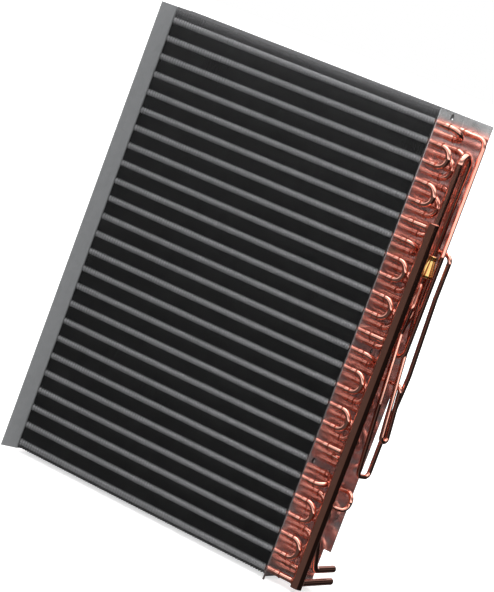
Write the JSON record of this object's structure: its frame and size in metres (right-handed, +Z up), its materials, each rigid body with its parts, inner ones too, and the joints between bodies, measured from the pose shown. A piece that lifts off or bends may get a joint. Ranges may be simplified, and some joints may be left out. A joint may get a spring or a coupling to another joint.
{
  "type": "finned heat exchanger coil",
  "caption": "Upright finned heat exchanger coil: copper hairpins through aluminium fins between two steel end plates, with a suction header and a distributor.",
  "frame": {"origin": "middle of the bottom of the bounding box, level with the feet of the plate at the header end", "axes": "+Z up along the fins; +X along the tubes towards the header end; -Y is the front face of the fins, +Y is the side the two pipe stubs point to"},
  "size_m": [0.5103, 0.124, 0.6415],
  "materials": {
    "fins": "thin bright sheet",
    "plates": "galvanised sheet",
    "copper": "drawn copper tube",
    "braze": "brazing alloy",
    "brass": "turned brass",
    "spring_steel": "spring wire"
  },
  "bodies": {
    "root": {"fin_pack": "fins", "left_tube_sheet": "plates", "right_tube_sheet": "plates", "hairpin_tubes_row_1": "copper", "hairpin_tubes_row_2": "copper", "hairpin_tubes_row_3": "copper", "return_bends_row_1": "copper", "return_bends_row_2": "copper", "return_bends_row_3": "copper", "crossover_bends_row_1_2": "copper", "crossover_bends_row_2_3": "copper", "suction_header_tube": "copper", "header_end_caps": "copper", "header_branches": "copper", "suction_stub": "copper", "liquid_line": "copper", "feeder_bushings": "copper", "feeder_tube_1": "copper", "feeder_tube_2": "copper", "feeder_tube_3": "copper", "feeder_tube_4": "copper", "bell_braze_rings": "braze", "header_braze_rings": "braze", "distributor_braze_rings": "braze", "distributor_body": "brass", "distributor_nozzle": "brass", "distributor_retainer_ring": "spring_steel"}
  },
  "joints": []
}
